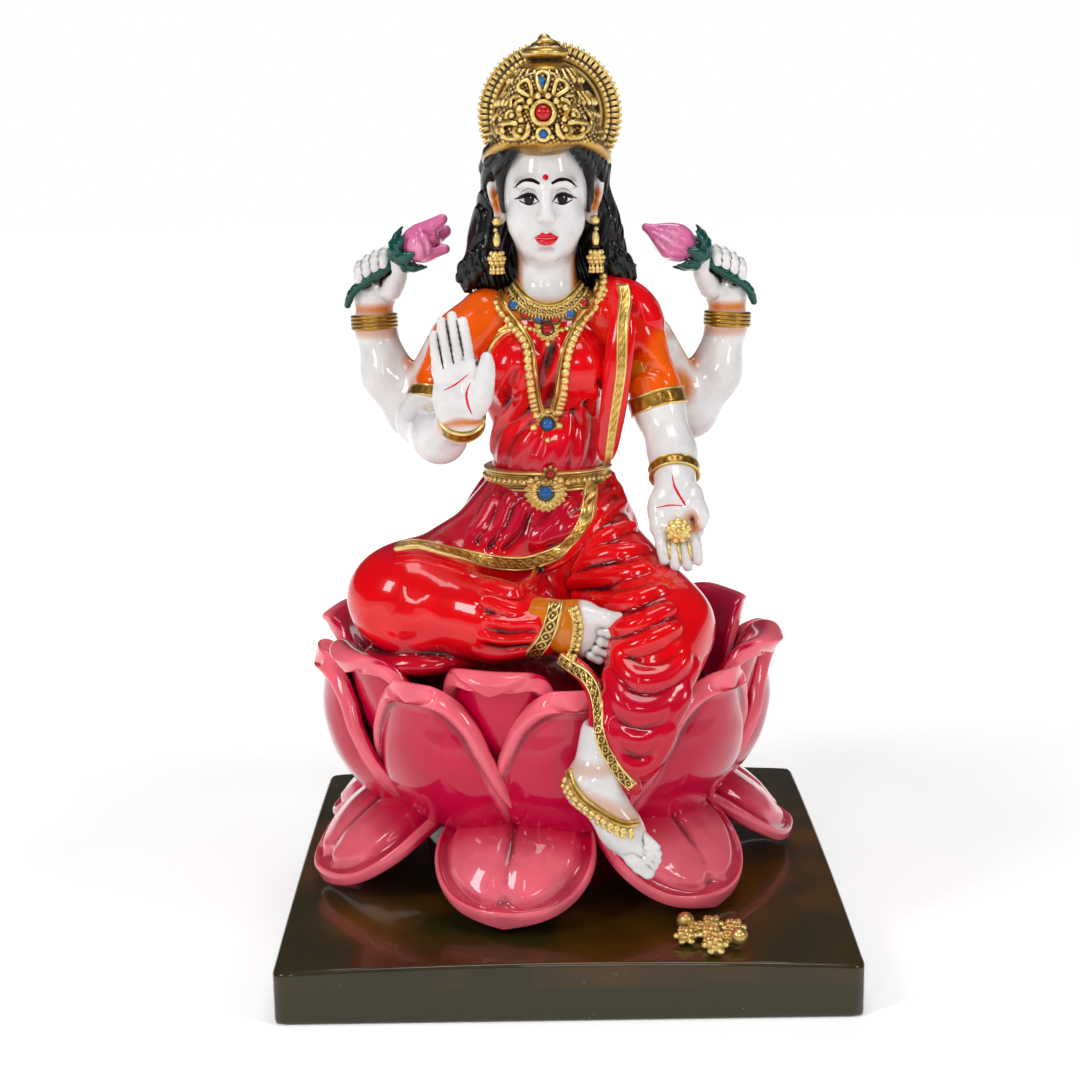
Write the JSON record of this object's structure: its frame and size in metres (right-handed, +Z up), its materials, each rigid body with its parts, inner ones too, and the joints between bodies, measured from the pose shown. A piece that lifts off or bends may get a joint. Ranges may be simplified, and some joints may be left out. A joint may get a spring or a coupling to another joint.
{
  "type": "hindu deity statue",
  "caption": "Painted resin statuette of a four-armed goddess seated on a lotus above a domed square slab; it stands on its flat underside for display.",
  "frame": {"origin": "centre of the slab's flat underside", "axes": "+Z up through the figure, -Y the way she faces, +X to the viewer's right"},
  "size_m": [0.186, 0.186, 0.304],
  "materials": {
    "slab_lacquer": "gloss lacquer",
    "petal_enamel": "gloss enamel",
    "seed_pod": "gloss enamel with dark wash",
    "sari_red": "gloss enamel",
    "sleeve_orange": "gloss enamel",
    "hair_black": "gloss enamel",
    "bud_pink": "gloss enamel",
    "gem_enamel": "gloss enamel",
    "skin_white": "gloss enamel",
    "antique_gold": "antiqued gold paint"
  },
  "bodies": {
    "root": {"ankle_hems": "antique_gold", "anklets": "antique_gold", "armbands": "antique_gold", "bangles": "antique_gold", "base_slab": "slab_lacquer", "belt_buckle": "antique_gold", "collar_gems": "gem_enamel", "collar_necklace": "antique_gold", "crown_cap": "antique_gold", "crown_crest": "antique_gold", "crown_finial": "antique_gold", "crown_gems": "gem_enamel", "crown_halo": "antique_gold", "cup_petal_1": "petal_enamel", "cup_petal_2": "petal_enamel", "cup_petal_3": "petal_enamel", "cup_petal_4": "petal_enamel", "cup_petal_5": "petal_enamel", "cup_petal_6": "petal_enamel", "cup_petal_7": "petal_enamel", "cup_petal_8": "petal_enamel", "earrings": "antique_gold", "folded_foot": "skin_white", "folded_leg": "sari_red", "forearm_left": "skin_white", "forearm_right": "skin_white", "hair": "hair_black", "hand_left": "skin_white", "hand_right": "skin_white", "hanging_foot": "skin_white", "hanging_shin": "sari_red", "hanging_thigh": "sari_red", "head": "skin_white", "hips": "sari_red", "inner_petals": "petal_enamel", "long_necklace": "antique_gold", "lotus_bud_left": "bud_pink", "lotus_bud_right": "bud_pink", "lotus_core": "seed_pod", "necklace_pendants": "antique_gold", "offering_beads": "antique_gold", "offering_flowers": "antique_gold", "outer_petal_1": "petal_enamel", "outer_petal_2": "petal_enamel", "outer_petal_3": "petal_enamel", "outer_petal_4": "petal_enamel", "outer_petal_5": "petal_enamel", "outer_petal_6": "petal_enamel", "outer_petal_7": "petal_enamel", "palm_flower": "antique_gold", "rear_arm_left": "skin_white", "rear_arm_right": "skin_white", "rear_hand_left": "skin_white", "rear_hand_right": "skin_white", "sash_border": "antique_gold", "shoulder_drape": "sari_red", "sleeve_left": "sleeve_orange", "sleeve_right": "sleeve_orange", "torso": "sari_red", "waist_belt": "antique_gold"}
  },
  "joints": []
}
